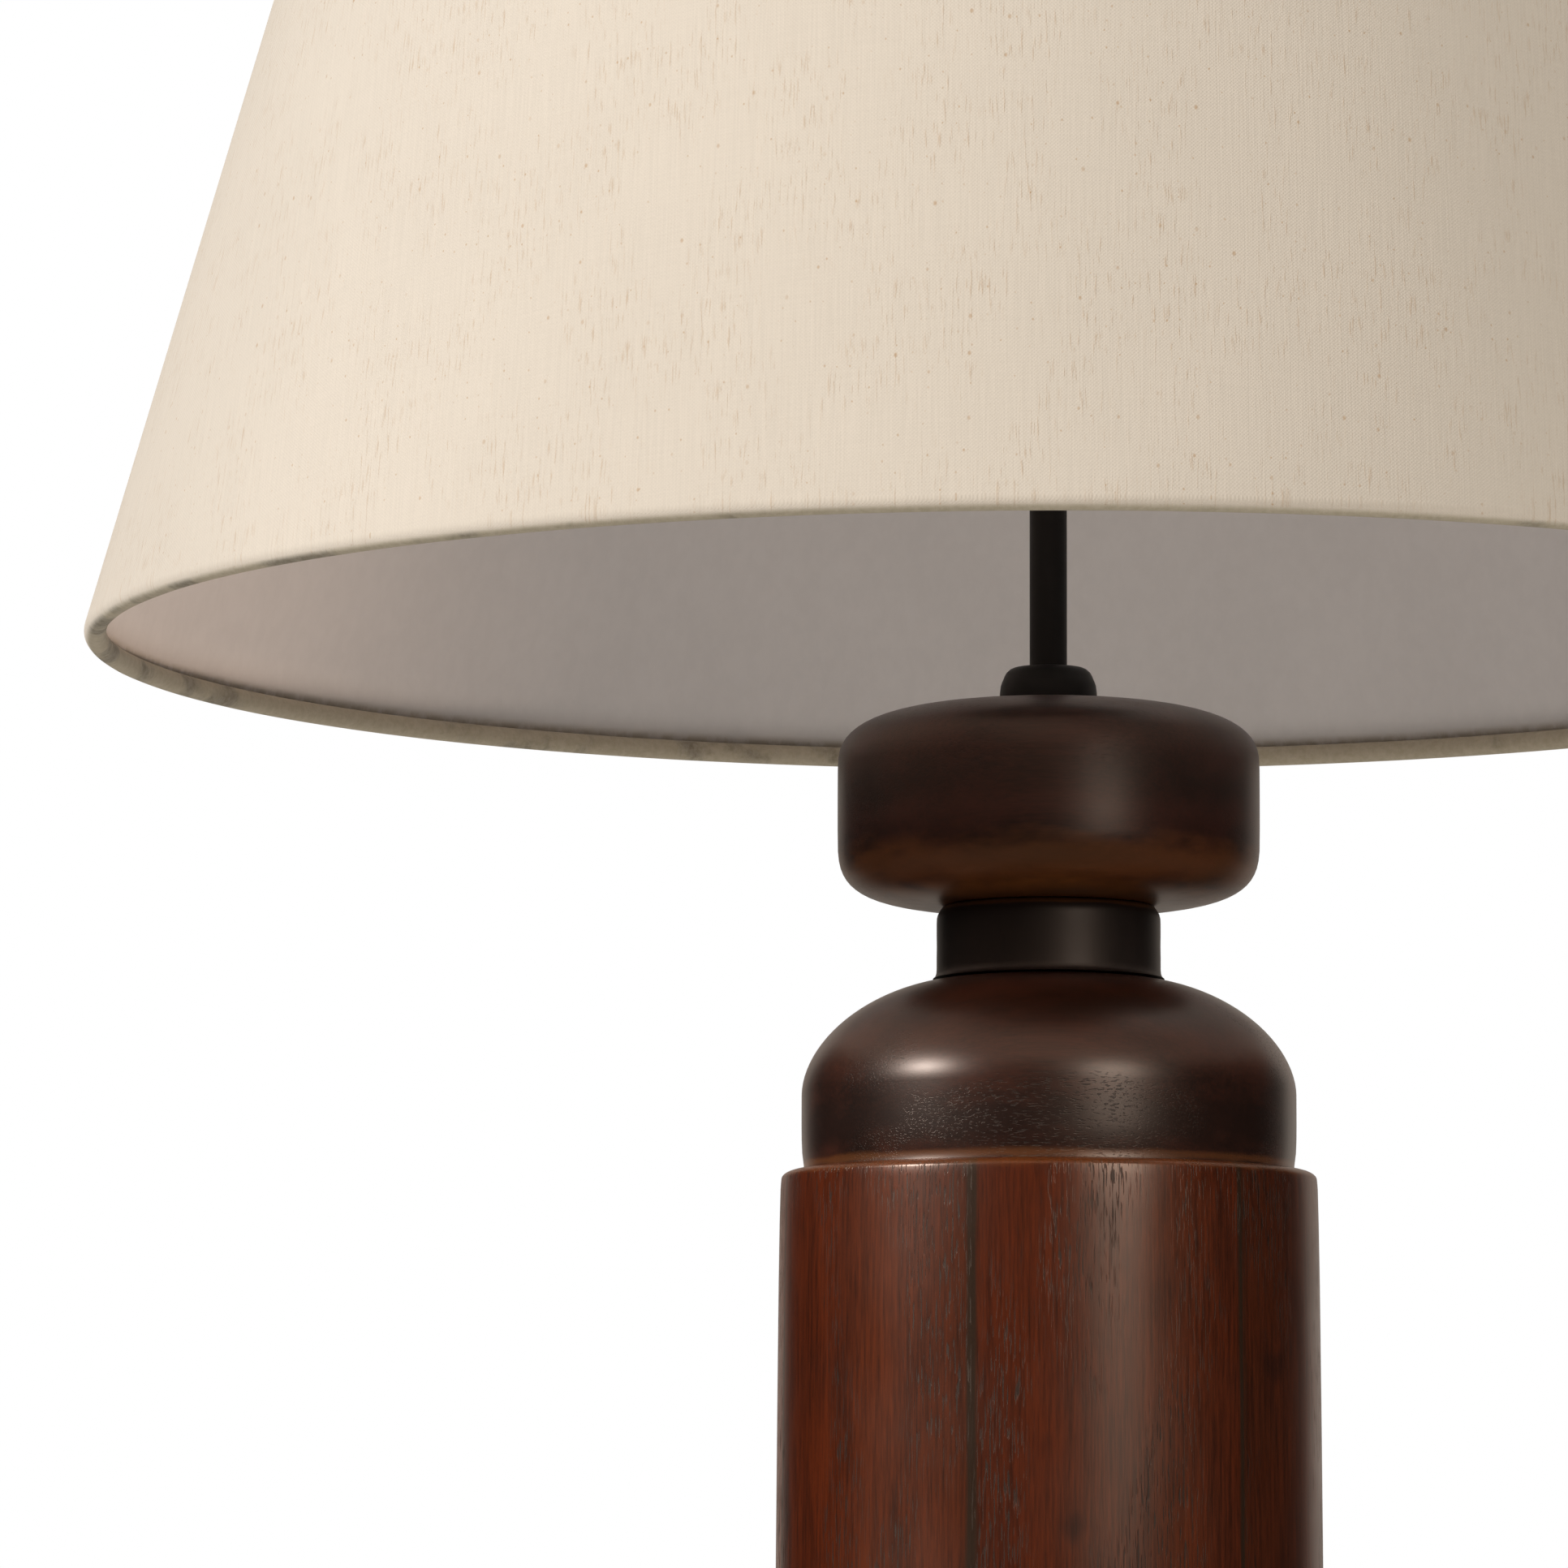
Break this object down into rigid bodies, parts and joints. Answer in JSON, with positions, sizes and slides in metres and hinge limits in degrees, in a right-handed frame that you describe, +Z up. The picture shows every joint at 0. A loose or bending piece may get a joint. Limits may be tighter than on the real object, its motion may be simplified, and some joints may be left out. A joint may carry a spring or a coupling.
{
  "type": "tripod floor lamp",
  "caption": "Floor lamp: a turned wooden column on three splayed legs carries a tapered linen shade on a harp above a round wooden puck, neck and dome.",
  "frame": {"origin": "on the floor, on the column's vertical axis", "axes": "+Z up along the column, -Y to the front, +X to the right seen from the front"},
  "size_m": [0.5082, 0.5082, 1.4844],
  "materials": {
    "linen": "natural woven linen with darker slubs",
    "shade_lining": "pale grey laminated lining, matte",
    "dark_wood": "satin dark walnut stain",
    "black_wood": "near-black stain, satin",
    "red_brown_wood": "satin red-brown stain with open pores",
    "black_metal": "matte black powder coat",
    "bright_steel": "nickel plated",
    "zinc_steel": "zinc plated",
    "brass_bright": "satin brass",
    "fibre_paper": "brown insulating fibre",
    "phenolic": "moulded black phenolic",
    "knob_plastic": "polished black",
    "nylon": "dark brown nylon",
    "opal_glass": "opal white",
    "clear_glass": "clear",
    "bulb_shell_metal": "bright rolled",
    "black_glass": "black insulating glass",
    "phosphor": "yellow phosphor coating"
  },
  "bodies": {
    "stand": {"top_puck": "dark_wood", "shoulder_dome": "dark_wood", "neck_ring": "black_wood", "barrel_stave_1": "red_brown_wood", "barrel_stave_2": "red_brown_wood", "barrel_stave_3": "red_brown_wood", "barrel_stave_4": "red_brown_wood", "barrel_stave_5": "red_brown_wood", "barrel_stave_6": "red_brown_wood", "leg_block": "red_brown_wood", "leg_1": "red_brown_wood", "leg_2": "red_brown_wood", "leg_3": "red_brown_wood", "collar": "black_metal", "riser_tube": "black_metal", "holder_cap": "black_metal", "holder_shell": "black_metal", "harp": "bright_steel", "harp_stud": "bright_steel", "harp_saddle": "bright_steel", "saddle_nut": "bright_steel", "tie_pipe": "zinc_steel", "clamp_washer": "zinc_steel", "clamp_nut": "zinc_steel", "hanger_bolts": "zinc_steel", "leg_inserts": "zinc_steel", "glide_nails": "zinc_steel", "holder_set_screw": "zinc_steel", "screw_shell": "brass_bright", "centre_contact": "brass_bright", "terminal_screws": "brass_bright", "holder_liner": "fibre_paper", "holder_body": "phenolic", "foot_glides": "nylon", "cord_bushing": "nylon"},
    "shade": {"shade_fabric": "linen", "shade_liner": "shade_lining", "bottom_ring": "bright_steel", "top_ring": "bright_steel", "fitter_washer": "bright_steel", "spider_arms": "bright_steel"},
    "finial": {"finial_base": "brass_bright", "finial_knob": "dark_wood"},
    "bulb": {"bulb_glass": "opal_glass", "bulb_base": "bulb_shell_metal", "bulb_insulator": "black_glass", "bulb_eyelet": "brass_bright", "bulb_stem": "clear_glass", "bulb_filaments": "phosphor"},
    "switch": {"switch_knob": "knob_plastic", "switch_shaft": "bulb_shell_metal", "switch_rotor": "nylon"},
    "sleeve_left": {"harp_sleeve_left": "bright_steel"},
    "sleeve_right": {"harp_sleeve_right": "bright_steel"}
  },
  "joints": [
    {"name": "shade_turn", "type": "hinge", "parent": "stand", "child": "shade", "pos_m": [0, 0, 1.455], "axis": [0, 0, 1], "continuous": true},
    {"name": "finial_turn", "type": "hinge", "parent": "stand", "child": "finial", "pos_m": [0, 0, 1.458], "axis": [0, 0, 1], "continuous": true},
    {"name": "bulb_turn", "type": "hinge", "parent": "stand", "child": "bulb", "pos_m": [0, 0, 1.295], "axis": [0, 0, 1], "continuous": true},
    {"name": "switch_turn", "type": "hinge", "parent": "stand", "child": "switch", "pos_m": [0, 0.02, 1.27], "axis": [0, 1, 0], "continuous": true},
    {"name": "sleeve_left_lift", "type": "slide", "parent": "stand", "child": "sleeve_left", "axis": [0, 0, 1], "range_m": [0, 0.01]},
    {"name": "sleeve_right_lift", "type": "slide", "parent": "stand", "child": "sleeve_right", "axis": [0, 0, 1], "range_m": [0, 0.01]}
  ]
}
